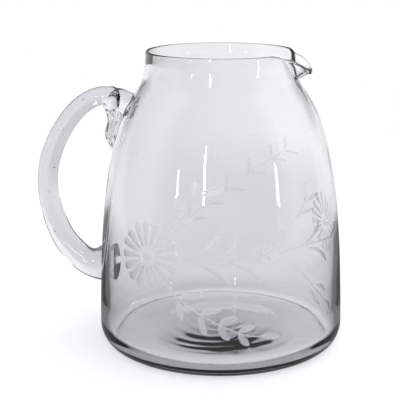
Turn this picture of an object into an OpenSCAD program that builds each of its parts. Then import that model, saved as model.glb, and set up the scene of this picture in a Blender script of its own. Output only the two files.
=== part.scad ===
// Cocktail pitcher of hand-blown glass.
// The vessel is one blown piece, with a pouring lip pulled out of its rim. The handle is a
// second piece of glass, drawn into a loop and sealed on hot, and its surplus end is folded
// back under the upper seat and hangs down as a ridged tail.
// The origin is the centre of the foot, +Z is up, the lip points to +X and the handle to -X.

/* [Vessel] */
// Height from the table to the top of the rim
height = 190; // [160:1:230]
// Width across the widest part, low on the vessel
body_width = 160; // [130:1:200]
// Width across the rim
rim_width = 96.4; // [80:1:120]
// How far the rounded heel comes in under the widest part
heel_inset = 9; // [4:0.5:16]
// Height of the rounded heel
heel_height = 13; // [8:1:20]
// Thickness of the wall at the rim
rim_wall = 2.8; // [2:0.1:4]
// Thickness of the wall just above the heel
heel_wall = 4.4; // [3:0.2:7]
// Thickness of the floor over the foot ring
floor_thickness = 4.5; // [4:0.5:12]
// Radius of the hollow corner between the wall and the floor
floor_corner = 10; // [8:0.5:20]
// How much the floor rises towards its middle
floor_crown = 3; // [2:0.5:5]
// Width of the flat ring that the vessel stands on
foot_ring = 10; // [5:1:20]
// Height of the hollow pushed up under the foot
punt_height = 3.5; // [1:0.5:4.5]

/* [Lip] */
// How far the lip reaches out past the rim
lip_reach = 10.5; // [5:0.5:16]
// How far the lip's edge dips below the rim
lip_drop = 9.8; // [3:0.5:12]
// How far down the wall the lip is pulled out
lip_depth = 15; // [13:0.5:24]
// Angle of the rim that is pulled out into the lip
lip_angle = 46; // [26:1:50]
// Angle of the rim that sags towards the lip
dip_angle = 68; // [50:2:80]
// Angle of the rim that bends down into the lip's nose
nose_angle = 34; // [20:1:40]
// How far the lip's wall leans outwards at its tip
lip_lean_angle = 48; // [20:2:60]

/* [Handle] */
// Thickness of the handle's rod at the middle of its loop
handle_thickness = 13.6; // [10:0.2:17]
// How far the middle of the rod stands out past the widest part of the vessel
handle_reach = 42; // [34:1:55]
// Height of the lower seat
lower_seat = 43; // [36:1:55]
// Height of the upper seat
upper_seat = 152; // [146:1:158]

/* [Tail] */
// Length of the folded-back end, from the top of its fold to its tip
tail_length = 38; // [32:0.5:48]
// Width of the fold across the rod
fold_width = 17; // [15:0.5:20]
// Width of the hanging tail
tail_width = 10.5; // [8:0.5:13]
// Thickness of the hanging tail, measured away from the wall
tail_thickness = 8.8; // [6:0.2:10]
// How far the middle of the tail's tip stands off the wall
tail_gap = 3.8; // [3:0.2:6]
// Number of ridges pinched along the tail
tail_ridges = 7; // [5:1:9]

/* [Hidden] */

glass_tint = [0.80, 0.79, 0.82, 0.55];
handle_tint = [0.86, 0.86, 0.88, 0.65];
tail_tint = [0.72, 0.72, 0.76, 0.75];

$fn = 96;
body_radius = body_width / 2;
rim_radius = rim_width / 2;
foot_radius = body_radius - heel_inset;
punt_radius = foot_radius - foot_ring;
bead_radius = rim_wall / 2;
bead_level = height - bead_radius;
corner_level = floor_thickness + floor_corner;

// Outer curve of the vessel, from the heel to the rim: share of the height, then share of
// the way from the rim's radius out to the widest radius.
wall_curve_shares = [
    [0.068, 1], [0.15, 0.988], [0.25, 0.965], [0.36, 0.93], [0.47, 0.873], [0.58, 0.787],
    [0.68, 0.67], [0.76, 0.53], [0.82, 0.375], [0.865, 0.219], [0.90, 0.085], [0.93, 0.024],
    [0.96, -0.005], [1, 0]
];
wall_curve_steps = 2;

// Thickness of the wall: share of the height, then share of the way from the rim's wall to
// the heel's wall.
wall_thickness_shares = [
    [0, 1], [0.14, 1], [0.18, 0.83], [0.25, 0.6], [0.36, 0.34], [0.47, 0.18], [0.6, 0.08], [0.76, 0], [1, 0]
];

// The section's outside and inside have the same count of points, and face each other in pairs.
punt_steps = 5;
heel_steps = 6;
floor_steps = 4;
corner_steps = 1 + punt_steps + heel_steps - floor_steps;
bead_steps = 6;

// Angles about the axis, in steps, of the front half that holds the lip.
lip_steps = 28;
side_steps = 8;
half_turn = 180;
quarter_turn = 90;
full_turn = 360;

// The lip narrows to this share of its angle at the bottom of the pull. A low power makes a
// blunt lip with a creased foot, and a high one makes a pointed lip that rises gently. The nose
// takes its share of the dip, and the sag on both sides of it takes the rest.
lip_foot_share = 0.3;
lip_reach_power = 1.25;
lip_rise_power = 0.75;
sag_power = 1.5;
nose_power = 1.6;
nose_drop_share = 0.44;

// Route of the handle's rod, from the lower seat to the upper one: share of the way from the
// wall out to the loop's farthest point, share of the way up from the lower seat to the upper
// one, then the half height and half width of the rod as shares of its thickness.
rod_shares = [
    [-0.30, 0.015, 0.98, 0.62],
    [0.00, 0.000, 0.96, 0.60],
    [0.19, -0.010, 0.82, 0.585],
    [0.37, 0.004, 0.70, 0.58],
    [0.53, 0.045, 0.65, 0.58],
    [0.74, 0.135, 0.61, 0.565],
    [0.89, 0.255, 0.56, 0.54],
    [0.975, 0.380, 0.52, 0.515],
    [1.00, 0.490, 0.505, 0.50],
    [0.97, 0.610, 0.50, 0.49],
    [0.88, 0.735, 0.49, 0.48],
    [0.78, 0.830, 0.48, 0.475],
    [0.66, 0.925, 0.475, 0.47],
    [0.535, 1.000, 0.46, 0.46],
    [0.40, 1.046, 0.45, 0.455],
    [0.24, 1.055, 0.46, 0.46],
    [0.09, 1.028, 0.52, 0.50],
    [-0.06, 0.985, 0.62, 0.56],
    [-0.26, 0.930, 0.68, 0.58]
];
rod_steps = 2;
rod_sides = 20;
upper_rod_row = 24;

// The folded-back end, from the top of the fold down to the tip: share of its length, how far
// its middle stands out past the tip's, as a share of the tail's thickness, half thickness and
// half width as shares of the tail's thickness, blend from the fold's width to the tail's, and
// depth of the ridges as a share of the radius.
tail_shares = [
    [0.00, 0.00, 0.22, 0.24, 0, 0.00],
    [0.03, -0.05, 0.50, 0.55, 0, 0.00],
    [0.09, -0.10, 0.74, 0.84, 0, 0.00],
    [0.16, -0.12, 0.82, 0.98, 0, 0.01],
    [0.22, -0.14, 0.78, 1.00, 0, 0.02],
    [0.28, -0.19, 0.64, 0.90, 0.35, 0.05],
    [0.36, -0.22, 0.53, 0.90, 0.8, 0.09],
    [0.44, -0.21, 0.46, 0.94, 1, 0.12],
    [0.53, -0.17, 0.43, 0.96, 1, 0.14],
    [0.62, -0.09, 0.45, 1.00, 1, 0.14],
    [0.72, -0.01, 0.46, 0.96, 1, 0.14],
    [0.80, 0.02, 0.37, 0.76, 1, 0.12],
    [0.89, 0.01, 0.22, 0.48, 1, 0.08],
    [0.96, 0.00, 0.11, 0.25, 1, 0.04],
    [1.00, 0.00, 0.05, 0.10, 1, 0.00]
];
tail_ridge_points = 5;

// The top of the fold lies over the middle of the upper seat by this share of the rod.
fold_rise_share = 0.6;

// A smooth curve through a list of points, with the given steps between each pair.
function between(a, b, c, d, t) =
    (2 * b + (c - a) * t + (2 * a - 5 * b + 4 * c - d) * t * t + (3 * b - a - 3 * c + d) * t * t * t) / 2;
function smooth(points, steps) = [
    for (i = [0 : len(points) - 2])
        for (k = [0 : steps - 1])
            between(
                points[max(i - 1, 0)], points[i], points[i + 1], points[min(i + 2, len(points) - 1)],
                k / steps
            ),
    points[len(points) - 1]
];

function level_share(share) = (share - wall_curve_shares[0][0]) / (1 - wall_curve_shares[0][0]);
function levels_from(low) = [for (row = wall_curve) low + (bead_level - low) * level_share(row[0])];
wall_curve = smooth(wall_curve_shares, wall_curve_steps);
wall_levels = levels_from(heel_height);
wall_table = [
    for (i = [0 : len(wall_curve) - 1])
        [wall_levels[i], rim_radius + (body_radius - rim_radius) * wall_curve[i][1]]
];
function outer_radius(z) = lookup(z, wall_table);
function wall(z) = rim_wall + (heel_wall - rim_wall) * lookup(z / height, wall_thickness_shares);

// How strongly the lip is pulled at an angle from its middle and at a share of its depth.
function lip_level(z) = max(0, (z - bead_level + lip_depth) / lip_depth);
function lip_half(width_angle, z) = width_angle / 2 * (lip_foot_share + (1 - lip_foot_share) * lip_level(z));
function hump(angle, half_angle, power) =
    abs(angle) >= half_angle ? 0 : pow(cos(quarter_turn * angle / half_angle), power);
function reach_pull(angle, z) =
    hump(angle, lip_half(lip_angle, z), lip_reach_power) * pow(lip_level(z), lip_rise_power);
function drop_pull(angle, z) = lip_level(z) * (
    (1 - nose_drop_share) * hump(angle, lip_half(dip_angle, z), sag_power)
    + nose_drop_share * hump(angle, lip_half(nose_angle, z), nose_power)
);

// Middle of the wall at one level, and the direction across the wall there.
function wall_middle(angle, z) = [
    outer_radius(z) - wall(z) / 2 + lip_reach * reach_pull(angle, z),
    z - lip_drop * drop_pull(angle, z)
];
function wall_across(angle, z) = [
    cos(lip_lean_angle * reach_pull(angle, z)),
    -sin(lip_lean_angle * reach_pull(angle, z))
];

// The parts of the vessel's section, from the middle of the underside round to the floor.
underside = [
    for (i = [1 : punt_steps])
        [punt_radius * i / punt_steps, punt_height * (1 + cos(half_turn * i / punt_steps)) / 2]
];
heel = [
    for (i = [0 : heel_steps - 1])
        [
            foot_radius + heel_inset * sin(quarter_turn * i / heel_steps),
            heel_height * (1 - cos(quarter_turn * i / heel_steps))
        ]
];
function outer_wall(angle) = [
    for (z = wall_levels) wall_middle(angle, z) + wall_across(angle, z) * wall(z) / 2
];
function rim_bead(angle) = [
    for (i = [1 : bead_steps - 1])
        wall_middle(angle, bead_level) + bead_radius * [
            cos(half_turn * i / bead_steps - lip_lean_angle * reach_pull(angle, bead_level)),
            sin(half_turn * i / bead_steps - lip_lean_angle * reach_pull(angle, bead_level))
        ]
];
inner_levels = levels_from(corner_level);
function inner_wall(angle) = [
    for (i = [len(inner_levels) - 1 : -1 : 0])
        let (z = inner_levels[i]) wall_middle(angle, z) - wall_across(angle, z) * wall(z) / 2
];
corner_radius = outer_radius(corner_level) - wall(corner_level);
corner = [
    for (i = [1 : corner_steps])
        [
            corner_radius - floor_corner * (1 - cos(quarter_turn * i / corner_steps)),
            corner_level - floor_corner * sin(quarter_turn * i / corner_steps)
        ]
];
floor_radius = corner_radius - floor_corner;
floor_line = [
    for (i = [1 : floor_steps - 1])
        [
            floor_radius * (1 - i / floor_steps),
            floor_thickness + floor_crown * (1 - cos(half_turn * i / floor_steps)) / 2
        ]
];
underside_centre = [0, punt_height];
floor_centre = [0, floor_thickness + floor_crown];
function section(angle) = concat(
    [underside_centre], underside, heel, outer_wall(angle), rim_bead(angle),
    inner_wall(angle), corner, floor_line, [floor_centre]
);

back_section = section(half_turn);
back_outline = concat([[0, 0]], heel, outer_wall(half_turn), [[0, bead_level]]);

shaped_angle = max(lip_angle, dip_angle);
plain_angle = quarter_turn - shaped_angle / 2;
front_angles = concat(
    [for (i = [0 : side_steps - 1]) -quarter_turn + plain_angle * i / side_steps],
    [for (i = [0 : lip_steps]) shaped_angle * (i / lip_steps - 1 / 2)],
    [for (i = [1 : side_steps]) shaped_angle / 2 + plain_angle * i / side_steps]
);

// The front half of the vessel, with the lip. Its sections share their two points on the axis.
module front_half() {
    rings = [for (a = front_angles) [for (p = section(a)) [p[0] * cos(a), p[0] * sin(a), p[1]]]];
    top = len(rings[0]) - 1;
    last = len(rings) - 1;
    points = concat(
        [rings[0][0], rings[0][top]],
        [for (ring = rings) for (i = [1 : top - 1]) ring[i]]
    );
    function at(ring, i) = i == 0 ? 0 : i == top ? 1 : 1 + ring * (top - 1) + i;
    sides = [
        for (j = [0 : last - 1])
            for (i = [0 : top - 1])
                each [
                    if (i > 0) [at(j, i), at(j, i + 1), at(j + 1, i)],
                    if (i < top - 1) [at(j, i + 1), at(j + 1, i + 1), at(j + 1, i)]
                ]
    ];
    ends = [
        for (i = [0 : top / 2 - 1])
            each [
                [at(0, i), at(0, top - i), at(0, i + 1)],
                [at(last, i), at(last, i + 1), at(last, top - i)],
                if (i + 1 < top / 2) each [
                    [at(0, i + 1), at(0, top - i), at(0, top - i - 1)],
                    [at(last, i + 1), at(last, top - i - 1), at(last, top - i)]
                ]
            ]
    ];
    polyhedron(points, concat(sides, ends));
}

// A closed solid through rings of points, all with the same count.
module loft(rings) {
    count = len(rings[0]);
    last = len(rings) - 1;
    function at(ring, i) = ring * count + i % count;
    sides = [
        for (j = [0 : last - 1])
            for (i = [0 : count - 1])
                each [
                    [at(j, i), at(j + 1, i + 1), at(j + 1, i)],
                    [at(j, i), at(j, i + 1), at(j + 1, i + 1)]
                ]
    ];
    caps = [[for (i = [count - 1 : -1 : 0]) at(0, i)], [for (i = [0 : count - 1]) at(last, i)]];
    polyhedron([for (ring = rings) each ring], concat(sides, caps));
}

// What the vessel fills on the handle's side, cavity included.
module back_of_vessel() {
    rotate_extrude(angle = half_turn, start = quarter_turn) polygon(back_outline);
}

// Route of the rod in the plane of the handle: distance from the axis and height.
loop_radius = body_radius + handle_reach;
function rod_middle(row) =
    let (z = lower_seat + (upper_seat - lower_seat) * row[1])
    [outer_radius(z) + (loop_radius - outer_radius(z)) * row[0], z];
rod_rows = smooth(rod_shares, rod_steps);
rod_line = [for (row = rod_rows) rod_middle(row)];
function heading(line, i) =
    let (step = line[min(i + 1, len(line) - 1)] - line[max(i - 1, 0)])
    step / norm(step);
function rod_ring(i) = [
    for (k = [0 : rod_sides - 1])
        let (
            along = heading(rod_line, i),
            turn = full_turn * k / rod_sides,
            up = handle_thickness * rod_rows[i][2] * cos(turn),
            side = handle_thickness * rod_rows[i][3] * sin(turn)
        )
        [-(rod_line[i][0] + along[1] * up), side, rod_line[i][1] - along[0] * up]
];

module rod(first_row = 0) {
    loft([for (i = [first_row : len(rod_rows) - 1]) rod_ring(i)]);
}

// The folded-back end is a stack of level rings.
tail_top = upper_seat + handle_thickness * fold_rise_share;
tail_tip_level = tail_top - tail_length;
tail_tip_radius = outer_radius(tail_tip_level) + tail_gap;
function tail_half_width(row) =
    ((1 - row[4]) * fold_width / 2 + row[4] * tail_width / 2) * row[3];
function tail_ring(row) = [
    for (k = [0 : tail_ridges * tail_ridge_points - 1])
        let (
            turn = full_turn * k / (tail_ridges * tail_ridge_points),
            ridge = 1 + row[5] * cos(tail_ridges * turn)
        )
        [
            -(tail_tip_radius + tail_thickness * (row[1] + row[2] * ridge * cos(turn))),
            tail_half_width(row) * ridge * sin(turn),
            tail_top - tail_length * row[0]
        ]
];

module body() {
    color(glass_tint)
        union() {
            rotate_extrude(angle = half_turn, start = quarter_turn) polygon(back_section);
            front_half();
        }
}

module handle() {
    color(handle_tint)
        difference() {
            rod();
            back_of_vessel();
        }
}

module handle_tail() {
    color(tail_tint)
        difference() {
            loft([for (row = tail_shares) tail_ring(row)]);
            rod(upper_rod_row);
            back_of_vessel();
        }
}

body();
handle();
handle_tail();
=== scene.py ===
# %% [markdown]
# # A cocktail pitcher of hand-blown glass
# Three pieces of clear glass: a wide vessel with a pulled lip, a looped rod for a handle, and the
# end of that rod folded back under its upper seat and pinched into ridges. The outer wall is cut at
# the wheel with daisies, stems and leaves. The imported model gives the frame: the foot stands on the
# floor at z = 0, the lip points towards +X and the handle towards -X.

# %% Load the frame
import math
import random
from contextlib import contextmanager

import bmesh
import bpy
import numpy as np
from mathutils import Matrix, Vector
from mathutils.geometry import delaunay_2d_cdt


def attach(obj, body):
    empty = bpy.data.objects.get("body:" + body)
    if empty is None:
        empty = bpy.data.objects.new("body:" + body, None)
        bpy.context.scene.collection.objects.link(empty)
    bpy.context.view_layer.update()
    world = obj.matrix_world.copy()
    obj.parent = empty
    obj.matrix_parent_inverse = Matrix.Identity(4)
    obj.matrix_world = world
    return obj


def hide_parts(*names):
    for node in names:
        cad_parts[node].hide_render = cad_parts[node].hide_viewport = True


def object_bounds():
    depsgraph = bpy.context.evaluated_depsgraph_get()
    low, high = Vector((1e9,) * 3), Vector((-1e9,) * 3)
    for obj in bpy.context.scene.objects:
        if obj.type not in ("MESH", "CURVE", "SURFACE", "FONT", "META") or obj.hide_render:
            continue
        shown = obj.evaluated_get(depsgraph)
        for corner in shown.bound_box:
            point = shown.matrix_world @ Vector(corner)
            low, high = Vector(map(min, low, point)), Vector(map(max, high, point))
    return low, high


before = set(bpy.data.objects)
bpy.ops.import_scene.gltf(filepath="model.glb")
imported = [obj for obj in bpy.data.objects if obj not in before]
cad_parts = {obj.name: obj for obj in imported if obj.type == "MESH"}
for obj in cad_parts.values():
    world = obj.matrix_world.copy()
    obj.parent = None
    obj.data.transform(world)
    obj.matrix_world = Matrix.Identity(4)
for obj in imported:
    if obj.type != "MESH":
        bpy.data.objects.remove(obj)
cad_low, cad_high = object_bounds()
print("size of the model:", [round(v, 4) for v in cad_high - cad_low])

# %% [markdown]
# ## The camera
# The photograph is taken from a little above, 15 degrees to the lip's side of square-on. Its lens
# was worked out from the ellipses of the rim and the foot, and a small shift puts the pitcher right
# of the middle.

# %% Camera
camera_place = (0.1740, -0.6493, 0.2638)
camera_turn = 15
camera_dip = 14.31
camera_lens = {"lens": 95.5, "sensor_width": 36, "shift_x": -0.052, "clip_end": 100}

camera = bpy.data.objects.new("camera", bpy.data.cameras.new("camera"))
bpy.context.scene.collection.objects.link(camera)
camera.location = camera_place
camera.rotation_euler = (math.radians(90 - camera_dip), 0, math.radians(camera_turn))
for name, value in camera_lens.items():
    setattr(camera.data, name, value)
bpy.context.scene.camera = camera
bpy.context.scene.view_settings.view_transform = "Standard"

# %% [markdown]
# ## The sizes that the scene shares with the solid
# The pieces are made again with finer steps, from the sizes and tables that the solid was built
# from. All are in millimetres until a mesh is made.

# %% Sizes
MM = 0.001
height = round((cad_high.z - cad_low.z) / MM, 3)
body_width = round((cad_high.y - cad_low.y) / MM, 3)
rim_width = 96.4
heel_inset = 9
heel_height = 13
rim_wall = 2.8
heel_wall = 4.4
floor_thickness = 4.5
floor_corner = 10
floor_crown = 3
foot_ring = 10
lip_reach = 10.5
lip_drop = 9.8
lip_depth = 15
lip_angle = 46
dip_angle = 68
nose_angle = 34
lip_lean_angle = 48
handle_thickness = 13.6
handle_reach = 42
lower_seat = 43
upper_seat = 152

body_radius = body_width / 2
rim_radius = rim_width / 2
foot_radius = body_radius - heel_inset
hollow_radius = foot_radius - foot_ring
bead_radius = rim_wall / 2
bead_level = height - bead_radius
corner_level = floor_thickness + floor_corner

# %% [markdown]
# ## The wall's curve
# A blown wall is one smooth curve, drawn through a few given points: share of the height
# against share of the way from the rim's radius to the widest one. Fine steps between them take the
# solid's facets away.

# %% Curves
wall_curve_shares = [
    [0.068, 1], [0.15, 0.988], [0.25, 0.965], [0.36, 0.93], [0.47, 0.873], [0.58, 0.787],
    [0.68, 0.67], [0.76, 0.53], [0.82, 0.375], [0.865, 0.219], [0.9, 0.085], [0.93, 0.024],
    [0.96, -0.005], [1, 0],
]
wall_curve_steps = 12
wall_thickness_shares = [
    [0, 1], [0.14, 1], [0.18, 0.83], [0.25, 0.6], [0.36, 0.34], [0.47, 0.18], [0.6, 0.08],
    [0.76, 0], [1, 0],
]


def smooth(rows, steps):
    """A smooth curve through rows of numbers, with the given steps between each pair."""
    rows = np.array(rows, float)
    last = len(rows) - 1
    made = []
    for i in range(last):
        a, b = rows[max(i - 1, 0)], rows[i]
        c, d = rows[i + 1], rows[min(i + 2, last)]
        for t in np.arange(steps) / steps:
            bend = (2 * a - 5 * b + 4 * c - d) * t * t + (3 * b - a - 3 * c + d) * t ** 3
            made.append((2 * b + (c - a) * t + bend) / 2)
    made.append(rows[last])
    return np.array(made)


wall_curve = smooth(wall_curve_shares, wall_curve_steps)
first_share = wall_curve[0, 0]
wall_rise = (bead_level - heel_height) * (wall_curve[:, 0] - first_share)
wall_levels = heel_height + wall_rise / (1 - first_share)
wall_radii = rim_radius + (body_radius - rim_radius) * wall_curve[:, 1]
thickness_table = np.array(wall_thickness_shares)


def outer_radius(z):
    return np.interp(z, wall_levels, wall_radii)


def wall(z):
    share = np.interp(np.asarray(z) / height, thickness_table[:, 0], thickness_table[:, 1])
    return rim_wall + (heel_wall - rim_wall) * share


print("wall at 20, 74 and 170 mm:", wall([20, 74, 170]).round(1), "mm")

# %% [markdown]
# ## The lip
# The glassmaker softens one side of the rim and pulls it out and down, so the lip is a hump added
# to the wall's own points, strongest at the rim. The rim sags over a wide angle and bends down into
# the nose over a narrower one. The last millimetres of the wall are drawn thinner all round, but
# the fire has rolled the nose's edge into a thicker bead.

# %% Lip
lip_foot_share = 0.3
lip_reach_power = 1.25
lip_rise_power = 0.75
sag_power = 1.5
nose_power = 1.6
nose_drop_share = 0.44
rim_thin_share = 0.4
rim_thin_depth = 6.0
rim_thin_power = 0.5
nose_roll_share = 0.45
nose_roll_depth = 5.0
nose_roll_power = 0.7


def lip_level(z):
    return np.clip((z - bead_level + lip_depth) / lip_depth, 0, None)


def hump(angle, width_angle, z, power):
    half = width_angle / 2 * (lip_foot_share + (1 - lip_foot_share) * lip_level(z))
    inside = np.clip(np.cos(np.radians(90 * np.clip(np.abs(angle) / half, 0, 1))), 0, 1)
    return inside ** power


def near_rim(z, depth):
    """0 below the given depth under the rim and 1 at the rim."""
    return np.clip((z - bead_level + depth) / depth, 0, 1)


def rim_thinning(angle, z):
    away = 1 - hump(angle, dip_angle, bead_level, rim_thin_power)
    return rim_thin_share * near_rim(z, rim_thin_depth) * away


def nose_swelling(angle, z):
    at_nose = hump(angle, nose_angle, bead_level, nose_roll_power)
    return nose_roll_share * near_rim(z, nose_roll_depth) ** 2 * at_nose


def wall_point(angle, z, across):
    """Radius and height of the wall at an angle and a level: across is 1 outside and -1 inside."""
    reach = hump(angle, lip_angle, z, lip_reach_power) * lip_level(z) ** lip_rise_power
    sag = hump(angle, dip_angle, z, sag_power)
    nose = hump(angle, nose_angle, z, nose_power)
    drop = ((1 - nose_drop_share) * sag + nose_drop_share * nose) * lip_level(z)
    lean = np.radians(lip_lean_angle) * reach
    half_wall, roll = wall(z) / 2, nose_swelling(angle, z)
    thinned = half_wall * (rim_thinning(angle, z) - roll)
    half = across * (half_wall - thinned)
    middle = outer_radius(z) - half_wall + lip_reach * reach - half_wall * roll
    return middle + half * np.cos(lean), z + thinned - lip_drop * drop - half * np.sin(lean)


print("tip of the lip:", [round(float(v), 1) for v in wall_point(0, bead_level, 1)])

# %% [markdown]
# ## The cutter's marks: how one is described
# Each mark is cut with a small turning stone, so it is long and narrow, deepest along one line and
# sharp at its edges. It is laid out on the unrolled wall, in millimetres along and up, by a spine, a
# half width at each point of it, a depth, and a place for its deepest line, from -1 at one edge to 1
# at the other.

# %% Unrolling the wall
unroll_radius = 77.0
unroll_steps = 600
arc_levels = np.linspace(heel_height, bead_level, unroll_steps)
arc_steps = np.hypot(np.diff(arc_levels), np.diff(outer_radius(arc_levels)))
arc_lengths = heel_height + np.concatenate([[0], np.cumsum(arc_steps)])


def unroll(angle, z):
    """Angle and height on the wall to millimetres along and up the unrolled wall."""
    along, z = np.broadcast_arrays(np.radians(angle) * unroll_radius, np.asarray(z, float))
    return np.stack([along, np.interp(z, arc_levels, arc_lengths)], axis=-1)


def roll(flat):
    """The way back: angle in degrees and height."""
    return np.degrees(flat[:, 0] / unroll_radius), np.interp(flat[:, 1], arc_lengths, arc_levels)


marks = []


def add_mark(spine, half, depth, valley=0.0):
    half[0] = half[-1] = 0
    marks.append({"spine": spine, "half": half, "depth": depth, "valley": valley})


def points_near(mark, flat, margin):
    low, high = mark["spine"].min(axis=0) - margin, mark["spine"].max(axis=0) + margin
    return np.nonzero(((flat > low) & (flat < high)).all(axis=1))[0]


# %% [markdown]
# ## Leaves, petals and stems
# A leaf is a bowed mark, pointed at both ends, and an oval is a rounder one, a flat dab of the stone.
# A petal is a teardrop, narrow at its root. A stem is a thin line that follows a smooth curve.

# %% Kinds of mark
leaf_points = 13
petal_points = 14
petal_start = 5.2
petal_root_share = 0.22
petal_tip_start = 0.84
petal_tip_length = 0.16
petal_depth = 0.32
petal_valley = 0.35
stem_steps = 5
stem_width = 0.9
stem_taper_share = 0.4


def bowed(start, end, bow, count):
    """A spine from start to end that rises to one side by bow."""
    start, end = np.array(start, float), np.array(end, float)
    t = np.linspace(0, 1, count)[:, None]
    ahead = end - start
    side = np.array([-ahead[1], ahead[0]]) / np.hypot(*ahead)
    return start + ahead * t + side * bow * 4 * t * (1 - t)


def leaf(angle, z, end_angle, end_z, width, bow, depth=0.26, valley=0.3, belly=0.55, fullness=0.8):
    """A leaf between two places on the wall. A low fullness makes its ends rounder."""
    spine = bowed(unroll(angle, z), unroll(end_angle, end_z), bow, leaf_points)
    t = np.linspace(0, 1, leaf_points)
    half = width / 2 * np.sin(np.pi * t ** (math.log(0.5) / math.log(belly))) ** fullness
    add_mark(spine, half, depth, valley)


def leaves(rows, **shape):
    for row in rows:
        leaf(*row, **shape)


def ovals(rows):
    leaves(rows, depth=0.2, valley=0.0, belly=0.52, fullness=0.55)


def petal(middle, direction, far, width):
    ray = np.array([math.cos(direction), math.sin(direction)])
    t = np.linspace(0, 1, petal_points) ** 0.8
    spine = middle + ray * (petal_start + (far - petal_start) * t)[:, None]
    in_tip = np.clip((t - petal_tip_start) / petal_tip_length, 0, 1)
    widening = petal_root_share + (1 - petal_root_share) * t ** 0.9
    half = width / 2 * widening * np.sqrt(np.clip(1 - in_tip ** 2, 0, 1))
    add_mark(spine, half, petal_depth, petal_valley)


def stem(points, depth=0.16):
    line = smooth([unroll(*p) for p in points], stem_steps)
    half = np.full(len(line), stem_width / 2)
    half[1] = half[-2] = stem_width * stem_taper_share
    add_mark(line, half, depth)


# %% [markdown]
# ## The daisy
# Sixteen petals stand round a small oval heart. Small seeded differences in their place, length and
# width keep the look of handwork.

# %% Daisy
daisy_petals = 16
petal_reach = 21.0
petal_width = 5.7
heart_reach = 3.5
heart_rise = 2.6
heart_depth = 0.25
hand_seed = 7
hand = random.Random(hand_seed)


def daisy(angle, z, turn):
    middle = unroll(angle, z)
    for i in range(daisy_petals):
        direction = turn + 2 * math.pi * (i + hand.uniform(-0.07, 0.07)) / daisy_petals
        far = petal_reach + hand.uniform(-0.5, 0.8)
        petal(middle, direction, far, petal_width * hand.uniform(0.95, 1.05))
    heart = bowed(middle - (heart_reach, 0), middle + (heart_reach, 0), 0, leaf_points)
    half = heart_rise * np.sqrt(np.clip(1 - np.linspace(-1, 1, leaf_points) ** 2, 0, 1))
    add_mark(heart, half, heart_depth)


daisy(-109.9, 73.8, turn=0.1)
print(len(marks), "marks in a daisy")

# %% [markdown]
# ## The sprays
# Stems leave the daisy to both sides and below, with leaves along them in pairs. Places are angle
# round the axis and height, in degrees and millimetres. The first spray runs towards the lip and
# ends in five short leaves like a small flower.

# %% Sprays beside the daisy
stem([(-92.5, 74.5), (-86, 75.3), (-79, 76.2), (-73, 76.6), (-59, 77.5)])
leaves([
    (-87, 73, -69.7, 58.6, 3.4, 3.0),
    (-73, 74.5, -57, 61, 3.4, 3.0),
    (-86.5, 77, -74.5, 93, 3.2, -2.0),
    (-73.5, 78, -67.5, 92.5, 3.2, -1.6),
])
for tip in ((-60.5, 83), (-55, 84.5), (-51, 80.5), (-52.5, 74), (-57.5, 71.5)):
    leaf(-56.5, 78, *tip, 3.0, 0.4, valley=0.0)

stem([(-50.5, 74), (-44, 69.5), (-37, 63), (-29.5, 52.5), (-20, 39)])
leaves([
    (-29.5, 53, -19.6, 45, 3.4, 1.6),
    (-30.5, 51, -24, 38, 3.4, -1.8),
    (-20, 39, -15.5, 31.5, 3.6, 0.8),
])
stem([(-50, 77), (-36, 79), (-21, 78.4), (-8.6, 77.5)])
leaves([
    (-30.5, 76.5, -18, 63.5, 3.2, 2.4),
    (-34, 80, -22.5, 91.5, 3.2, -1.8),
    (-12, 78, -1, 84, 3.2, 0.8),
])

stem([(-48, 84), (-44, 90), (-38, 97), (-32, 104)])
leaves([
    (-44.5, 89, -47.6, 101, 3.0, 1.4),
    (-38, 97, -27, 100, 3.0, 0.8),
    (-32, 104, -21, 107.8, 3.2, 1.0),
    (-32.5, 105, -30, 117, 3.2, -1.0),
])
print(len(marks), "marks with the first sprays")

# %% [markdown]
# Below the daisy hangs a spray of ovals, and above it a thin one climbs. Round the far side, which
# shows only through the glass, go a second daisy and a long spray, cut so lightly that it stays
# almost polished.

# %% Sprays below and above, and the far side
stem([
    (-100.8, 59.3), (-93.8, 51), (-84.1, 41.9), (-75.8, 36), (-67.6, 30.7), (-62.9, 28.4),
    (-57.4, 27.2),
])
ovals([
    (-93.9, 51.1, -82.8, 52.7, 5.4, 0.8),
    (-93.9, 49.9, -91.6, 36.9, 5.2, -0.6),
    (-84, 41.8, -74.6, 44.8, 5.4, 0.8),
    (-84, 41.4, -81.2, 29.2, 5.2, -0.6),
    (-75.8, 36.2, -67.4, 39.5, 5.2, 0.6),
    (-75.8, 35.6, -71.2, 26.1, 5.0, -0.6),
    (-67.5, 30.9, -59.8, 34, 4.8, 0.6),
    (-67.3, 30.4, -62.5, 22.3, 4.8, -0.6),
    (-57.4, 27.6, -48.3, 25.2, 4.6, 0.6),
])

stem([
    (-101.3, 89.5), (-96.5, 96), (-92.3, 101.4), (-87.4, 111.7), (-81.5, 116.5), (-75.8, 119.6),
])
leaves([
    (-95, 97, -86.8, 99.8, 3.8, -0.8),
    (-92, 103, -97.5, 112, 3.6, 0.8),
    (-84.5, 113.2, -73, 117.3, 3.8, -1.0),
    (-87.4, 111.5, -87.5, 122, 3.4, 0.8),
])

daisy(30, 72, turn=0.2)
far_depth = 0.08
far_places = [(131, 50), (124, 58), (114, 69), (103, 80), (90, 94), (76, 106), (66, 113)]
stem(far_places, far_depth)
for angle, z in far_places[1:]:
    leaf(angle, z, angle - 1, z + 12.5, 3.8, 1.0, far_depth)
    leaf(angle, z, angle - 12, z + 1, 3.8, -1.0, far_depth)
print(len(marks), "cutter's marks")

# %% [markdown]
# ## Depth of the marks
# The nearest place on a mark's spine says how far across the mark a point lies, and so how deep the
# stone went there. Where marks cross, the deeper one counts.

# %% Depth
least_width = 1e-6
mark_margin = 0.1


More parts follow.
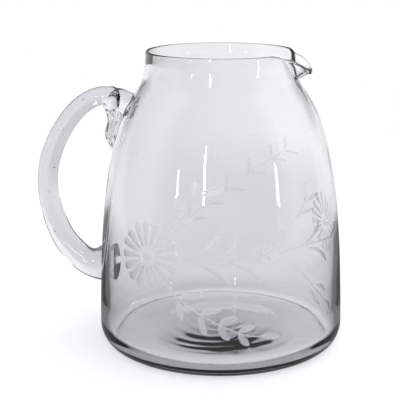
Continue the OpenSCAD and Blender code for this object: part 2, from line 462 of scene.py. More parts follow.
def mark_depth(mark, flat):
    """Depth of one mark at points of the unrolled wall, 0 outside it."""
    spine, half = mark["spine"], mark["half"]
    best = np.full(len(flat), np.inf)
    across = np.full(len(flat), 2.0)
    for i in range(len(spine) - 1):
        step = spine[i + 1] - spine[i]
        length = np.hypot(*step)
        from_start = flat - spine[i]
        t = np.clip(from_start @ step / length ** 2, 0, 1)
        away = from_start - t[:, None] * step
        distance = np.hypot(away[:, 0], away[:, 1])
        side = np.sign(step[0] * from_start[:, 1] - step[1] * from_start[:, 0])
        width = half[i] + (half[i + 1] - half[i]) * t
        nearer = distance < best
        best = np.where(nearer, distance, best)
        share = side * distance / np.maximum(width, least_width)
        across = np.where(nearer, np.where(width > least_width, share, 2.0), across)
    valley = mark["valley"]
    left, right = (valley - across) / (1 + valley), (across - valley) / (1 - valley)
    return mark["depth"] * np.clip(1 - np.where(across < valley, left, right) ** 2, 0, 1)


def cut_depth(flat):
    depth = np.zeros(len(flat))
    for mark in marks:
        near = points_near(mark, flat, mark["half"].max() + mark_margin)
        if len(near):
            depth[near] = np.maximum(depth[near], mark_depth(mark, flat[near]))
    return depth


# %% [markdown]
# ## Meshing the decorated band
# The outline of every mark has to be an edge of the mesh, or the cuts would look torn. So a flat
# Delaunay triangulation keeps the outlines as edges, over a plain grid that is finest round the lip.
# Then each point is pushed in by the depth of the cut there.

# %% Columns and the band's points
band_low, band_high = 19.0, 131.0
band_rows = 44
lip_half_angle = 36
lip_column_step = 0.8
side_columns = 96
columns = np.concatenate([
    np.linspace(-180, -lip_half_angle, side_columns, endpoint=False),
    np.arange(-lip_half_angle, lip_half_angle, lip_column_step),
    np.linspace(lip_half_angle, 180, side_columns, endpoint=False),
])
across_steps = (-0.66, -0.33, 0.0, 0.33, 0.66)
narrow_mark = 0.6


def mark_points(mark):
    """Outline of a mark as one loop, the points inside it, and its deepest line."""
    spine, half = mark["spine"], mark["half"]
    ahead = np.gradient(spine, axis=0)
    side = np.stack([-ahead[:, 1], ahead[:, 0]], axis=1) / np.hypot(*ahead.T)[:, None]
    reach = side * half[:, None]
    outline = np.concatenate([spine + reach, (spine - reach)[-2:0:-1]])
    steps = across_steps if half.max() > narrow_mark else (mark["valley"],)
    inside = [spine[1:-1] + reach[1:-1] * share for share in steps]
    return outline, np.concatenate(inside), spine + reach * mark["valley"]


grid_rows = np.linspace(*unroll(0, np.array([band_low, band_high]))[:, 1], band_rows + 1)
grid_columns = np.radians(np.append(columns, 180)) * unroll_radius
grid = np.stack(np.meshgrid(grid_columns, grid_rows), axis=-1).reshape(-1, 2)
at_edge = ((grid == grid.min(axis=0)) | (grid == grid.max(axis=0))).any(axis=1)

# %% Triangulation
clearance = 0.7
grid_margin = 5
same_point = 1e-4
taken = np.zeros(len(grid), bool)
flat_points, flat_edges = [], []
for mark in marks:
    outline, inside, valley = mark_points(mark)
    start = len(flat_points)
    flat_points.extend(outline)
    flat_edges.extend((start + i, start + (i + 1) % len(outline)) for i in range(len(outline)))
    start = len(flat_points)
    flat_points.extend(valley[1:-1])
    flat_edges.extend((start + i, start + i + 1) for i in range(len(valley) - 3))
    flat_points.extend(inside)
    fat = dict(mark, half=mark["half"] + clearance, depth=1.0)
    near = points_near(mark, grid, grid_margin)
    taken[near] |= mark_depth(fat, grid[near]) > 0
flat_points.extend(grid[at_edge | ~taken])
band_flat, _, band_faces, *_ = delaunay_2d_cdt(
    [Vector(p) for p in flat_points], flat_edges, [], 0, same_point
)
band_flat = np.array([tuple(p) for p in band_flat])
band_faces = np.array(band_faces)
print(len(band_flat), "points and", len(band_faces), "triangles in the decorated band")

# %% [markdown]
# ## The breath in the glass
# Blown glass is never quite even: its thickness drifts in long soft waves, which bend what is seen
# through it. They are sums of a few cosines, whole numbers of them round the axis so that they
# close, and only ever go into the glass, by a few tenths of a millimetre at most.

# %% Waves
wave_count = 9
outer_wave_depth = 0.10


def waves(angle, z, seed, depth, turns=5, rise=60.0):
    """Soft uneven depth, from 0 to depth, over angle in degrees and height or radius in mm."""
    pick = random.Random(seed)
    total = np.zeros(np.broadcast(angle, z).shape)
    for _ in range(wave_count):
        around = pick.randint(1, turns)
        up = pick.uniform(-1, 1) * 2 * math.pi / rise
        total = total + np.cos(np.radians(angle) * around + up * z + pick.uniform(0, 6.28)) / wave_count
    return depth * (0.5 + 0.5 * total)


def outer_waves(angle, z):
    return waves(angle, z, 3, outer_wave_depth)


def to_space(radius, angle, z):
    turn = np.radians(angle)
    return np.stack(np.broadcast_arrays(radius * np.cos(turn), radius * np.sin(turn), z), axis=-1)


def outside_point(angle, z, depth=0.0):
    """A point of the outer wall, sunk along the wall's normal by a cut's depth and by the waves."""
    slope = (outer_radius(z + 0.5) - outer_radius(z - 0.5)) * (z > heel_height + 0.5)
    tilt = np.hypot(1, slope)
    sunk = depth + outer_waves(angle, z)
    radius, level = wall_point(angle, z, 1)
    return to_space(radius - sunk / tilt, angle, level + sunk * slope / tilt)


# %% [markdown]
# ## The vessel as one closed skin
# Glass has to be a closed solid, because light bends where it goes in and where it comes out. The
# skin is rings of points, from the middle of the underside round the foot, up the outside, over the
# rim, down the inside and across the floor. The decorated band has its own mesh, whose edge points
# the rings below and above it share.

# %% Rings outside
hollow_height = 1.9
hollow_waves = 0.15
fine_level = 170


def ring(radius, z):
    return to_space(radius, columns, z)


def underside_ring(share):
    rise = hollow_height * (1 + np.cos(np.pi * share)) / 2
    radius = hollow_radius * share
    return ring(radius, rise + waves(columns, radius, 11, hollow_waves) * np.sin(np.pi * share))


def heel_ring(turn):
    return ring(foot_radius + heel_inset * np.sin(turn), heel_height * (1 - np.cos(turn)))


def levels(*stops):
    """Levels from a first one, then pairs of the next stop and the number of levels to it."""
    made = [stops[:1]]
    for stop, count in zip(stops[1::2], stops[2::2]):
        made.append(np.linspace(made[-1][-1], stop, count + 1)[1:])
    return np.concatenate(made)


foot_rings = [underside_ring(s) for s in np.linspace(0, 1, 46)[1:]]
heel_rings = [heel_ring(t) for t in np.linspace(0, np.pi / 2, 13)[:-1]]
low_rings = [outside_point(columns, z) for z in levels(heel_height, band_low, 3)]
high_rings = [outside_point(columns, z) for z in levels(band_high, fine_level, 19, bead_level, 20)]
print(len(foot_rings), "rings under the foot")

# %% [markdown]
# ## The inside and its swirl
# Behind the bead of the rim the wall goes down to a rounded corner and the floor. The middle of the
# floor is blown out least and stays thickest: a low dome, a little off the axis, whose turned
# ripples make the dark swirl.

# %% Rim, inner wall and floor
swirl_radius = 48
swirl_height = 4.2
swirl_place = (3, -4)
swirl_ripple = 0.11
swirl_calm = 15
inner_wave_depth = 0.35
corner_fade, rim_fade = 10, 5


def swirl(radius):
    """How much the dome and its ripples add to the floor's height."""
    turn = np.radians(columns)
    x, y = radius * np.cos(turn) - swirl_place[0], radius * np.sin(turn) - swirl_place[1]
    inside = np.clip(1 - (np.hypot(x, y) / swirl_radius) ** 2, 0, 1)
    drift = waves(columns, radius, 29, 1.0, 3, 25)
    ripple = np.cos(radius + turn + 7 * drift) * waves(columns, radius, 23, 1.0, 6, 18) ** 2
    spread = np.clip(0.3 + 2.5 * inside, 0, 1)
    calm = min(radius / swirl_calm, 1)
    return swirl_height * inside ** 1.5 + swirl_ripple * ripple * spread * calm


def rim_ring(turn):
    """A half circle across the wall's middle."""
    radius, level = wall_point(columns, bead_level, 0)
    reach = hump(columns, lip_angle, bead_level, lip_reach_power)
    lean = np.radians(lip_lean_angle) * reach
    bead = bead_radius * (1 - rim_thinning(columns, bead_level) + nose_swelling(columns, bead_level))
    sunk = bead - outer_waves(columns, bead_level) * max(math.cos(turn), 0)
    return to_space(radius + sunk * np.cos(turn - lean), columns, level + sunk * np.sin(turn - lean))


def inside_ring(z):
    radius, level = wall_point(columns, z, -1)
    fade = min((z - corner_level) / corner_fade, 1) * min((bead_level - z) / rim_fade, 1)
    sunk = waves(columns, z, 5, inner_wave_depth, 4, 75) * fade
    return to_space(radius - sunk, columns, level)


def corner_ring(turn):
    radius = corner_radius - floor_corner * (1 - np.cos(turn))
    return ring(radius, corner_level - floor_corner * np.sin(turn))


def floor_ring(share):
    crown = floor_crown * (1 + np.cos(np.pi * share)) / 2
    return ring(floor_radius * share, floor_thickness + crown + swirl(floor_radius * share))


corner_radius = float(outer_radius(corner_level) - wall(corner_level))
floor_radius = corner_radius - floor_corner
rim_rings = [rim_ring(t) for t in np.pi * np.arange(1, 10) / 10]
inner_rings = [inside_ring(z) for z in levels(bead_level, fine_level, 20, corner_level, 65)]
corner_rings = [corner_ring(t) for t in np.linspace(0, np.pi / 2, 16)[1:]]
floor_rings = [floor_ring(s) for s in np.linspace(1, 0, 90)[1:-1]]
print(len(inner_rings), "rings down the inside")

# %% [markdown]
# ## From points to a mesh
# One helper turns points in millimetres and lists of corners into a Blender object. It merges points
# that lie on each other, smooths the shading, and keeps chosen edges sharp.

# %% Making an object
crease_angle = 50
merge_distance = 2e-6
least_edge = 1e-7


@contextmanager
def editing(mesh):
    """The mesh, open for edits that are written back at the end."""
    made = bmesh.new()
    made.from_mesh(mesh)
    yield made
    made.to_mesh(mesh)
    made.free()


def make_object(name, points, faces, sharp_angle=None):
    mesh = bpy.data.meshes.new(name)
    mesh.from_pydata((np.asarray(points) * MM).tolist(), [], faces)
    with editing(mesh) as made:
        bmesh.ops.remove_doubles(made, verts=made.verts, dist=merge_distance)
        bmesh.ops.dissolve_degenerate(made, dist=least_edge, edges=made.edges)
        bmesh.ops.recalc_face_normals(made, faces=made.faces)
        open_edges = sum(not e.is_manifold for e in made.edges)
        size = made.calc_volume() / MM ** 3
    mesh.shade_smooth()
    if sharp_angle:
        mesh.set_sharp_from_angle(angle=math.radians(sharp_angle))
    piece = bpy.data.objects.new(name, mesh)
    bpy.context.scene.collection.objects.link(piece)
    print(f"{name}: {len(mesh.polygons)} faces, {open_edges} open edges, {size:.0f} mm3")
    return piece


def skin(rings, start=0):
    """Faces between rings whose points are numbered from start."""
    count = len(rings[0])
    faces = []
    for j in range(len(rings) - 1):
        a, b = start + j * count, start + (j + 1) * count
        for i in range(count):
            k = (i + 1) % count
            faces.append((a + i, a + k, b + k, b + i))
    return faces


def fan(start, count, tip):
    """Faces from a ring, whose points are numbered from start, to one point."""
    return [(start + i, start + (i + 1) % count, tip) for i in range(count)]


# %% The vessel
band_angle, band_level = roll(band_flat)
points = list(outside_point(band_angle, band_level, cut_depth(band_flat)))
faces = [tuple(int(i) for i in f) for f in band_faces]
count = len(columns)
lower_part = foot_rings + heel_rings + low_rings
upper_part = high_rings + rim_rings + inner_rings + corner_rings + floor_rings
upper_last = len(upper_part) - 1
floor_top = floor_thickness + floor_crown + swirl_height
for rings, closed, top in ((lower_part, 0, hollow_height), (upper_part, upper_last, floor_top)):
    start = len(points)
    points.extend(np.concatenate(rings))
    faces.extend(skin(rings, start))
    points.append((0, 0, top))
    faces.extend(fan(start + closed * count, count, len(points) - 1))
vessel = make_object("pitcher_body", points, faces)

# %% [markdown]
# ## Marking what the stone has touched
# The cut marks are satin and the rest is polished by fire. The mesh keeps in an attribute how satin
# each face is: fully where the stone went in deep, hardly where it only brushed the wall. The edges
# round the cuts are sharp, so that the shading breaks there as the glass does.

# %% Satin faces
full_satin_depth = 0.12
least_cut = 1e-3
outside_margin = 1.2


def read_points(collection, name):
    """A vector of every element of a mesh, in millimetres."""
    values = np.empty(len(collection) * 3)
    collection.foreach_get(name, values)
    return values.reshape(-1, 3) / MM


mesh = vessel.data
centres = read_points(mesh.polygons, "center")
angle, z = np.degrees(np.arctan2(centres[:, 1], centres[:, 0])), centres[:, 2]
outside = np.hypot(centres[:, 0], centres[:, 1]) > outer_radius(z) - outside_margin
in_band = outside & (z > band_low) & (z < band_high)
depth = np.zeros(len(centres))
depth[in_band] = cut_depth(unroll(angle[in_band], z[in_band]))
satin = np.clip(depth / full_satin_depth, 0, 1)
mesh.attributes.new("satin", "FLOAT", "FACE").data.foreach_set("value", satin)
cut = depth > least_cut
with editing(mesh) as made:
    for e in made.edges:
        if len({cut[f.index] for f in e.link_faces}) == 2:
            e.smooth = False
print(int(cut.sum()), "satin faces")
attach(vessel, "root")
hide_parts("body")

# %% [markdown]
# ## The handle
# A rod of hot glass is pressed on at the lower seat, drawn out and round, and pressed on again at
# the top. It is a tube along a smooth curve, written as rows: share of the way out to the loop,
# share of the way up between the seats, and half height and half width as shares of its thickness.

# %% Route of the rod
rod_shares = [
    [-0.3, 0.015, 0.98, 0.62], [0, 0, 0.96, 0.6], [0.19, -0.01, 0.82, 0.585],
    [0.37, 0.004, 0.7, 0.58], [0.53, 0.045, 0.65, 0.58], [0.74, 0.135, 0.61, 0.565],
    [0.89, 0.255, 0.56, 0.54], [0.975, 0.38, 0.52, 0.515], [1, 0.49, 0.505, 0.5],
    [0.97, 0.61, 0.5, 0.49], [0.88, 0.735, 0.49, 0.48], [0.78, 0.83, 0.48, 0.475],
    [0.66, 0.925, 0.475, 0.47], [0.535, 1, 0.46, 0.46], [0.4, 1.046, 0.45, 0.455],
    [0.24, 1.055, 0.46, 0.46], [0.09, 1.028, 0.52, 0.5], [-0.06, 0.985, 0.62, 0.56],
    [-0.26, 0.93, 0.68, 0.58],
]
rod_steps = 12
rod_sides = 48
loop_radius = body_radius + handle_reach


def rod_route():
    """The rod's middle, the way up across it, and its half height and half width."""
    rows = smooth(rod_shares, rod_steps)
    z = lower_seat + (upper_seat - lower_seat) * rows[:, 1]
    middle = np.stack([outer_radius(z) + (loop_radius - outer_radius(z)) * rows[:, 0], z], axis=1)
    ahead = np.gradient(middle, axis=0)
    ahead /= np.hypot(ahead[:, 0], ahead[:, 1])[:, None]
    return middle, np.stack([ahead[:, 1], -ahead[:, 0]], axis=1), handle_thickness * rows[:, 2:4]


rod_middle, rod_upwards, rod_half = rod_route()


def rod_tube(grow=0.0):
    """A ring of points for each row: distance from the axis, sideways and height."""
    turn = 2 * np.pi * np.arange(rod_sides) / rod_sides
    up = (rod_half[:, 0:1] + grow) * np.cos(turn)
    side = (rod_half[:, 1:2] + grow) * np.sin(turn)
    out, level = (rod_middle[:, k:k + 1] + rod_upwards[:, k:k + 1] * up for k in (0, 1))
    return np.stack([out, side, level], axis=-1)


rod_rows = rod_tube()
print(len(rod_rows), "rings along the rod")

# %% [markdown]
# ## Seating the rod
# Each line of the tube is followed to the place where it meets the wall, so that the seats sink a
# hair into the vessel, as glass sealed on hot does. A cap along the wall closes each.

# %% Fitting the rod to the wall
seat_depth = 0.3
handle_rings = 190
box_gap = 0.01


def meeting(line, order):
    """Fraction of a row at which a line of the tube comes out of the wall."""
    gap = np.hypot(line[order, 0], line[order, 1]) - outer_radius(line[order, 2]) + seat_depth
    i = int(np.nonzero(gap > 0)[0][0])
    share = gap[i - 1] / (gap[i - 1] - gap[i])
    return order[i - 1] + (order[i] - order[i - 1]) * share


def fitted_line(line):
    """A line of the tube, cut at both seats and spread over the handle's rings."""
    rows = np.arange(len(line))
    places = np.linspace(meeting(line, rows), meeting(line, rows[::-1]), handle_rings)
    return np.stack([np.interp(places, rows, line[:, k]) for k in range(3)], axis=-1)


def cap_rings(edge_ring):
    """Rings that close a seat along the wall."""
    centre = edge_ring.mean(axis=0)
    made = []
    for share in (0.8, 0.6, 0.4, 0.2):
        inner = centre + (edge_ring - centre) * share
        radius = outer_radius(inner[:, 2]) - seat_depth
        inner[:, 0] = np.sqrt(radius ** 2 - inner[:, 1] ** 2)
        made.append(inner)
    tip = np.array([outer_radius(centre[2]) - seat_depth, 0, centre[2]])
    return made, tip


fitted = np.stack([fitted_line(rod_rows[:, k]) for k in range(rod_sides)], axis=1)
fitted[..., 0] = np.minimum(fitted[..., 0], -cad_low.x / MM - box_gap)


# %% Handle mesh
def behind(points):
    """The handle is on the side of -X."""
    return points * np.array([-1, 1, 1])


lower_cap, lower_tip = cap_rings(fitted[0])
upper_cap, upper_tip = cap_rings(fitted[-1])
rings = lower_cap[::-1] + list(fitted) + upper_cap
points = list(behind(np.concatenate(rings)))
faces = skin(rings)
for tip, start in ((lower_tip, 0), (upper_tip, (len(rings) - 1) * rod_sides)):
    points.append(behind(tip))
    faces.extend(fan(start, rod_sides, len(points) - 1))
handle = make_object("pitcher_handle", points, faces, crease_angle)

# %% [markdown]
# ## Seeds in the rod
# A few small air bubbles, which glassmakers call seeds, were caught in the rod and stretched when it
# was drawn. Each is a hole in the glass, so it is a small ball whose faces look inwards. It is
# written as its row along the rod, its place up and sideways across it, and its radius.

# %% Seeds
seeds = [
    (108, -2.1, 1.5, 0.75), (67, 2.0, -2.0, 0.7), (90, 1.2, 2.5, 0.4), (135, -1.0, -2.2, 0.45),
    (158, 1.5, 1.0, 0.4),
]
seed_stretch = 1.8


def seed_matrix(row, up, side):
    out, level = rod_middle[row] + rod_upwards[row] * up
    along = Vector((rod_upwards[row, 1], 0, rod_upwards[row, 0]))
    turned = along.to_track_quat("Z", "Y").to_matrix().to_4x4()
    place = Matrix.Translation(Vector((-out, side, level)) * MM)
    return place @ turned @ Matrix.Diagonal((1, 1, seed_stretch, 1))


with editing(handle.data) as made:
    for *place, size in seeds:
        ball = bmesh.ops.create_uvsphere(
            made, u_segments=16, v_segments=10, radius=size * MM, matrix=seed_matrix(*place)
        )
        inner_faces = list({f for v in ball["verts"] for f in v.link_faces})
        bmesh.ops.reverse_faces(made, faces=inner_faces)
        for f in inner_faces:
            f.smooth = True
print(len(seeds), "seeds in", handle.name)
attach(handle, "root")
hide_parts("handle")

# %% [markdown]
# ## The folded, crimped tail
# The glass left over at the top is folded back and pinched flat with toothed tongs, into a round
# fold with a ridged, pointed tail below it. It is a stack of level rings whose radius swings in and
# out seven times. A row holds how far down a ring lies, how far out its middle stands, its half
# thickness and half width, how much it belongs to the tail and not the fold, and its ridges' depth.

# %% Tail rings
tail_length = 38
fold_width = 17
tail_width = 10.5
tail_thickness = 8.8
tail_gap = 3.8
tail_ridges = 7
fold_rise_share = 0.6
tail_shares = [
    [0, 0, 0.22, 0.24, 0, 0], [0.03, -0.05, 0.5, 0.55, 0, 0],
    [0.09, -0.1, 0.74, 0.84, 0, 0], [0.16, -0.12, 0.82, 0.98, 0, 0.01],
    [0.22, -0.14, 0.78, 1, 0, 0.02], [0.28, -0.19, 0.64, 0.9, 0.35, 0.08],
    [0.36, -0.22, 0.53, 0.9, 0.8, 0.18], [0.44, -0.21, 0.46, 0.94, 1, 0.18],
    [0.53, -0.17, 0.43, 0.96, 1, 0.22], [0.62, -0.09, 0.45, 1, 1, 0.22],
    [0.72, -0.01, 0.46, 0.96, 1, 0.22], [0.8, 0.02, 0.37, 0.76, 1, 0.18],
    [0.89, 0.01, 0.22, 0.48, 1, 0.08], [0.96, 0, 0.11, 0.25, 1, 0.04],
    [1, 0, 0.05, 0.1, 1, 0],
]
tail_steps = 6
tail_sides = 98
tail_table = smooth(tail_shares, tail_steps)
tail_top = upper_seat + handle_thickness * fold_rise_share
tail_tip_radius = float(outer_radius(tail_top - tail_length)) + tail_gap


def tail_half_width(blend, width):
    return ((1 - blend) * fold_width / 2 + blend * tail_width / 2) * width


def tail_swing(turn, ridge):
    return 1 + np.clip(ridge, 0, None) * np.cos(tail_ridges * turn)


def tail_ring(share, offset, half, width, blend, ridge):
    turn = 2 * np.pi * np.arange(tail_sides) / tail_sides
    swing = tail_swing(turn, ridge)
    out = tail_tip_radius + tail_thickness * (offset + half * swing * np.cos(turn))
    side = tail_half_width(blend, width) * swing * np.sin(turn)
    return np.stack([out, side, np.full(tail_sides, tail_top - tail_length * share)], axis=-1)


tail_rings = [tail_ring(*row) for row in tail_table]
print(len(tail_rings), "rings down the tail")

# %% [markdown]
# The rod and the wall are now cut out of it, so that it lies against both, sunk by the same hair.

# %% Cutting the tail to its neighbours
wall_tool_angle = 40
wall_tool_levels = (110, 180)
wall_tool_back = 30
rod_top_start = 140


def closed_loft(name, rings):
    count = len(rings[0])
    last = (len(rings) - 1) * count
    ends = [tuple(range(count))[::-1], tuple(range(last, last + count))]
    return make_object(name, behind(np.concatenate(rings)), skin(rings) + ends)


def wall_tool_ring(z):
    """An arc of the wall, closed by two corners inside the vessel."""
    arc = to_space(outer_radius(z) - seat_depth, np.linspace(-wall_tool_angle, wall_tool_angle, 161), z)
    return np.concatenate([arc, [[0, wall_tool_back, z], [0, -wall_tool_back, z]]])


def cut_away(piece, tool):
    cut = piece.modifiers.new("cut", "BOOLEAN")
    cut.operation = "DIFFERENCE"
    cut.solver = "EXACT"
    cut.object = tool
    depsgraph = bpy.context.evaluated_depsgraph_get()
    with_cut = bpy.data.meshes.new_from_object(piece.evaluated_get(depsgraph))
    piece.modifiers.clear()
    piece.data = with_cut
    bpy.data.objects.remove(tool)


tail = closed_loft("pitcher_tail", tail_rings)
wall_rings = [wall_tool_ring(z) for z in np.linspace(*wall_tool_levels, 71)]
cut_away(tail, closed_loft("wall_tool", wall_rings))
cut_away(tail, closed_loft("rod_tool", rod_tube(grow=-seat_depth)[rod_top_start:]))
bpy.context.view_layer.update()
tail.data.set_sharp_from_angle(angle=math.radians(crease_angle))
print("tail after cutting:", len(tail.data.polygons), "faces")
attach(tail, "root")
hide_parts("handle_tail")

# %% [markdown]
# ## Where glass was sealed to glass
# Glass that is sealed on hot becomes one, with no face between the two. Each piece stays a closed
# solid here, so its faces inside another piece have to let light straight through. Every point gets
# a number for the material: above zero it lies inside another piece.

# %% Depth in the neighbours
wall_softness = 3
seal_width = 30
seal_reach = 0.3


def in_wall(points):
    return (outer_radius(points[:, 2]) - np.hypot(points[:, 0], points[:, 1])) / wall_softness


def in_rod(points):
    flat = points[:, [0, 2]] * (-1, 1)
    nearest = np.hypot(*(flat[:, None] - rod_middle[None]).transpose(2, 0, 1)).argmin(axis=1)
    up = ((flat - rod_middle[nearest]) * rod_upwards[nearest]).sum(axis=1)
    return 1 - np.hypot(up / rod_half[nearest, 0], points[:, 1] / rod_half[nearest, 1])


def in_tail(points):
    share = (tail_top - points[:, 2]) / tail_length
    row = [np.interp(share, tail_table[:, 0], tail_table[:, k]) for k in range(1, 6)]
    offset, half, width, blend, ridge = row
    out = (-points[:, 0] - tail_tip_radius - tail_thickness * offset) / (tail_thickness * half)
    side = points[:, 1] / tail_half_width(blend, width)
    depth = 1 - np.hypot(out, side) / tail_swing(np.arctan2(side, out), ridge)
    return np.where((share > 0) & (share < 1), depth, -1)


def mark_sealed_points(piece, neighbours, on_wall=False):
    places = read_points(piece.data.vertices, "co")
    near = (places[:, 0] < 0) & (np.abs(places[:, 1]) < seal_width)
    if on_wall:
        near &= in_wall(places) < seal_reach
    sealed = np.full(len(places), -1.0)
    deepest = np.max([depth(places[near]) for depth in neighbours], axis=0)
    sealed[near] = np.clip(deepest, -1, 1)
    piece.data.attributes.new("sealed", "FLOAT", "POINT").data.foreach_set("value", sealed)
    print(piece.name, "has", int((sealed > 0).sum()), "points inside another piece")


mark_sealed_points(vessel, (in_rod, in_tail), on_wall=True)
mark_sealed_points(handle, (in_wall, in_tail))
mark_sealed_points(tail, (in_wall, in_rod))

# %% [markdown]
# ## Writing materials as sums
# A signal is what leaves a node's socket. Signals are added, multiplied and compared like numbers,
# and each such sum adds its own Math node. Every other node is made by one method, from Blender's
# name for it without ShaderNode, the values of its sockets and its settings.

# %% Signals and finishes
def sign(operation, turned=False):
    """The method behind a sign. Turned, it is for a number that stands before the signal."""
    def method(self, other):
        first, second = (other, self) if turned else (self, other)
        return self.finish.node("Math", {0: first, 1: second}, operation=operation)[0]
    return method


class Signal:
    def __init__(self, finish, socket):
        self.finish = finish
        self.socket = socket

    __add__, __radd__ = sign("ADD"), sign("ADD", turned=True)
    __sub__, __rsub__ = sign("SUBTRACT"), sign("SUBTRACT", turned=True)
    __mul__, __rmul__ = sign("MULTIPLY"), sign("MULTIPLY", turned=True)
    __gt__, __lt__ = sign("GREATER_THAN"), sign("LESS_THAN")


class Finish:
    def __init__(self, tree):
        self.tree = tree
        tree.nodes.clear()

    def node(self, kind, values=None, **settings):
        """Makes a node and returns its outputs, by number and by name."""
        made = self.tree.nodes.new("ShaderNode" + kind)
        for name, value in settings.items():
            setattr(made, name, value)
        for name, value in (values or {}).items():
            if isinstance(value, Signal):
                self.tree.links.new(value.socket, made.inputs[name])
            else:
                made.inputs[name].default_value = value
        outputs = [Signal(self, socket) for socket in made.outputs]
        return dict(enumerate(outputs)) | {o.socket.name: o for o in outputs}


def vector_math(operation, first, second=None, output="Vector"):
    """A Vector Math node on a signal and, for most sums, a second value."""
    values = {0: first} if second is None else {0: first, 1: second}
    return first.finish.node("VectorMath", values, operation=operation)[output]


def new_material(name):
    material = bpy.data.materials.new(name)
    material.use_nodes = True
    return material, Finish(material.node_tree)


# %% [markdown]
# ## The glass
# The glass bends light by 1.5. Its colour is an absorption per metre: a faint violet grey that
# shows only where the glass is thick. The surface is polished but never flat: a fine drift in the
# normal bends reflections as drawn glass does. Where it was sealed to
# another piece its alpha is 0. Where the stone has been it is rougher, with a small share of pale
# ground glass mixed in.

# %% Vessel glass
glass_bend = 1.5
glass_tint = (0.36, 0.33, 0.55, 1)
glass_density = 10.0
drift_height = 0.0002
polish_roughness = 0.004
satin_roughness = 0.5
satin_unevenness = 0.25
satin_share = 0.18
grit_size = 1800.0
ground_tint = (1, 1, 1.02)
ground_level = 0.86
ground_mottle = 0.1
ground_roughness = 0.9


def glass(name, drift_size, stretch=(1, 1, 1), satin=False):
    material, finish = new_material(name)
    place = finish.node("TexCoord")["Object"]
    drawn = finish.node("Mapping", {"Vector": place, "Scale": stretch})[0]
    drift = finish.node("TexNoise", {"Vector": drawn, "Scale": drift_size, "Detail": 1.0})[0]
    bump = finish.node("Bump", {"Height": drift, "Distance": drift_height})[0]
    roughness = drift * polish_roughness
    if satin:
        touched = finish.node("Attribute", attribute_name="satin")["Fac"]
        grit = finish.node("TexNoise", {"Vector": place, "Scale": grit_size, "Detail": 2.0})[0]
        rough = satin_roughness + (grit - 0.5) * satin_unevenness
        roughness = roughness + touched * rough
    sealed = finish.node("Attribute", attribute_name="sealed")["Fac"]
    surface = finish.node("BsdfPrincipled", {
        "Base Color": (1, 1, 1, 1),
        "Alpha": 1 - (sealed > 0),
        "Roughness": roughness,
        "IOR": glass_bend,
        "Transmission Weight": 1.0,
        "Normal": bump,
    })[0]
    if satin:
        pale = vector_math("MULTIPLY", ground_level + grit * ground_mottle, ground_tint)
        ground = finish.node("BsdfPrincipled", {"Base Color": pale, "Roughness": ground_roughness})[0]
        surface = finish.node("MixShader", {0: touched * satin_share, 1: surface, 2: ground})[0]
    inside = finish.node("VolumeAbsorption", {"Color": glass_tint, "Density": glass_density})[0]
    finish.node("OutputMaterial", {"Surface": surface, "Volume": inside})
    return material


vessel.data.materials.append(glass("blown_glass", 45.0, (1, 1, 0.5), satin=True))
rod_glass = glass("drawn_glass", 110.0)
for piece in (handle, tail):
    piece.data.materials.append(rod_glass)
print("materials:", *bpy.data.materials.keys())

# %% [markdown]
# ## The studio
# Glass shows only what is round it, so the room answers each ray by how often it was reflected,
# which the Light Path node counts. A ray that has only been bent sees the white backdrop, a little
# darker to one side. A ray reflected once sees the dark front of the room or the backdrop's bright
# sides, less bright high up. A ray reflected again and again comes out almost dark, which draws the
# dark lines at the outline, the heel and the seats.

# %% Room
turn = math.radians(camera_turn)
axis = (math.sin(turn), -math.cos(turn), 0)
rightwards = (math.cos(turn), math.sin(turn), 0)
backdrop_level = 0.93
backdrop_slope = 0.9
backdrop_least, backdrop_most = 0.7, 1.05
mirrored_high = 0.3
mirrored_side = 1.1
front_dark = 0.12
lost_dark = 0.06
lost_in_front = 0.5
behind_span = (0.45, 0.75)
high_span = (0.02, 0.12)
front_span = (0.2, 0.7)
room_tint = (0.985, 0.98, 1.0)


def dot(signal, direction):
    return vector_math("DOT_PRODUCT", signal, direction, "Value")


def level_unit(signal):
    """The direction without its height, one long."""
    return vector_math("NORMALIZE", vector_math("MULTIPLY", signal, (1, 1, 0)))


def smoothly(signal, span):
    """0 below the span and 1 above it, with a soft step between."""
    values = {"Value": signal, "From Min": span[0], "From Max": span[1]}
    return signal.finish.node("MapRange", values, interpolation_type="SMOOTHSTEP")[0]


def between(share, first, second):
    return first + share * (second - first)


world = bpy.data.worlds.new("studio")
bpy.context.scene.world = world
world.use_nodes = True
room = Finish(world.node_tree)
paths = room.node("LightPath")
not_scattered = paths["Diffuse Depth"] < 0.5
reflected = (paths["Glossy Depth"] > 0.5) * not_scattered
many = (paths["Glossy Depth"] > 1.5) * not_scattered
once = reflected - many
straight = paths["Is Camera Ray"]
towards = room.node("TexCoord")["Generated"]
facing = dot(level_unit(towards), axis)
rise = dot(towards, (0, 0, 1))
backdrop = room.node("Clamp", {
    "Value": backdrop_level + backdrop_slope * dot(towards, rightwards),
    "Min": backdrop_least,
    "Max": backdrop_most,
})[0]
behind_high = smoothly(0 - facing, behind_span) * smoothly(rise, high_span)
in_front = smoothly(facing, front_span)
mirrored = between(behind_high, mirrored_side, mirrored_high)
around = between(in_front * once, between(reflected, backdrop, mirrored), front_dark)
lost = many * (1 - lost_in_front * in_front)
level = between(straight, between(lost, around, lost_dark), 1)
tinted = vector_math("MULTIPLY", level, room_tint)
# A Mix node takes vectors at its sockets 4 and 5 and gives one at output 1
white = room.node("Mix", {0: straight, 4: tinted, 5: (1, 1, 1)}, data_type="VECTOR")[1]
shade = room.node("Background", {"Color": white})[0]
room.node("OutputWorld", {"Surface": shade})

# %% [markdown]
# ## The floor
# A plain white floor carries the pitcher and its soft shadow. It glows a little where the camera sees
# it, so that it is white in the picture, and fades into the backdrop. For reflected rays it is dark
# near the pitcher, as a dark room round the table would be, and less so right by the foot. Under the
# foot it glows faintly for other rays, for the light that a render loses in the thick base.

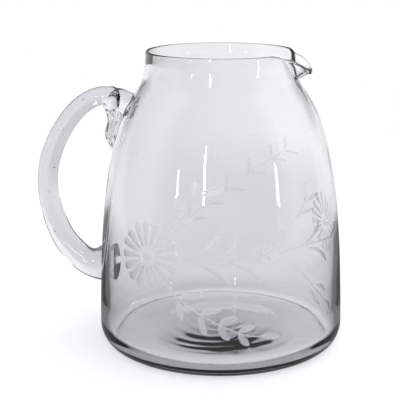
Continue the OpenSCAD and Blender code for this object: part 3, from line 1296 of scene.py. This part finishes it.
# %% Floor
floor_size = 1.2
floor_dark = 0.20
floor_drop = 0.0002
floor_colour = (0.86, 0.855, 0.87, 1)
camera_glow = 0.35
fade_span = (0.40, 0.75)
near_span = (0.34, 0.44)
near_lean = 0.12
behind_floor_span = (0.80, 0.92)
by_foot_span = (0.085, 0.11)
by_foot_dark = 0.7
under_span = (0.071, 0.085)
under_glow = 0.24
under_outwards, under_forwards, under_sideways = 4.0, 1.0, 0.8

bpy.ops.mesh.primitive_circle_add(
    vertices=96, radius=floor_size, fill_type="NGON", location=(0, 0, -floor_drop)
)
floor = bpy.context.object
floor.name = "floor"
material, finish = new_material("floor_white")
paths = finish.node("LightPath")
reflected = paths["Glossy Depth"] > 0.5
camera_sees = paths["Is Camera Ray"]
place = finish.node("NewGeometry")["Position"]
away = vector_math("LENGTH", place, output="Value")
sideways = dot(place, rightwards)
forwards = dot(place, axis)
near = 1 - smoothly(away + sideways * near_lean, near_span)
beside = 1 - smoothly(0 - dot(level_unit(place), axis), behind_floor_span)
dark = reflected * near * beside * between(smoothly(away, by_foot_span), by_foot_dark, 1)
spread = under_outwards * away + under_forwards * forwards + under_sideways * sideways
under = (1 - smoothly(away, under_span)) * (under_glow + spread)
glow_level = between(camera_sees, under, camera_glow)

# %% Floor's finish
matt = finish.node("BsdfDiffuse", {"Color": floor_colour})[0]
glow = finish.node("Emission", {"Color": glow_level})[0]
white = finish.node("AddShader", {0: matt, 1: glow})[0]
black = finish.node("Emission", {"Strength": floor_dark})[0]
both = finish.node("MixShader", {0: dark, 1: white, 2: black})[0]
clear = finish.node("BsdfTransparent")[0]
faded = finish.node("MixShader", {0: smoothly(away, fade_span), 1: both, 2: clear})[0]
finish.node("OutputMaterial", {"Surface": faded})
floor.data.materials.append(material)

# %% [markdown]
# ## Lamps
# Tall, narrow lamps draw the upright streaks down the shoulder, each in the direction in which the
# wall reflects it. One more stands behind. A lamp is written as azimuth and elevation in degrees,
# width and height in metres, and radiance.

# %% Strip lamps
lamp_distance = 1.6
lamp_aim = Vector((0, 0, 0.12))
strips = {
    "front_strip": (-91, 13, 0.055, 0.62, 24),
    "left_strip": (-118, 7, 0.03, 0.24, 16),
    "right_strip": (-18, 5, 0.035, 0.34, 14),
    "back_strip": (62, 35, 0.12, 0.5, 9),
}


def strip(name, azimuth, elevation, width, tall, radiance):
    turn, rise = math.radians(azimuth), math.radians(elevation)
    level = math.cos(rise)
    away = Vector((math.cos(turn) * level, math.sin(turn) * level, math.sin(rise))) * lamp_distance
    lamp = bpy.data.lights.new(name, "AREA")
    lamp.shape = "RECTANGLE"
    lamp.size = width
    lamp.size_y = tall
    lamp.energy = radiance * math.pi * width * tall
    stand = bpy.data.objects.new(name, lamp)
    stand.location = lamp_aim + away
    stand.rotation_euler = (lamp_aim - stand.location).to_track_quat("-Z", "Y").to_euler()
    bpy.context.scene.collection.objects.link(stand)


for name, measures in strips.items():
    strip(name, *measures)
print("lamps:", *strips)
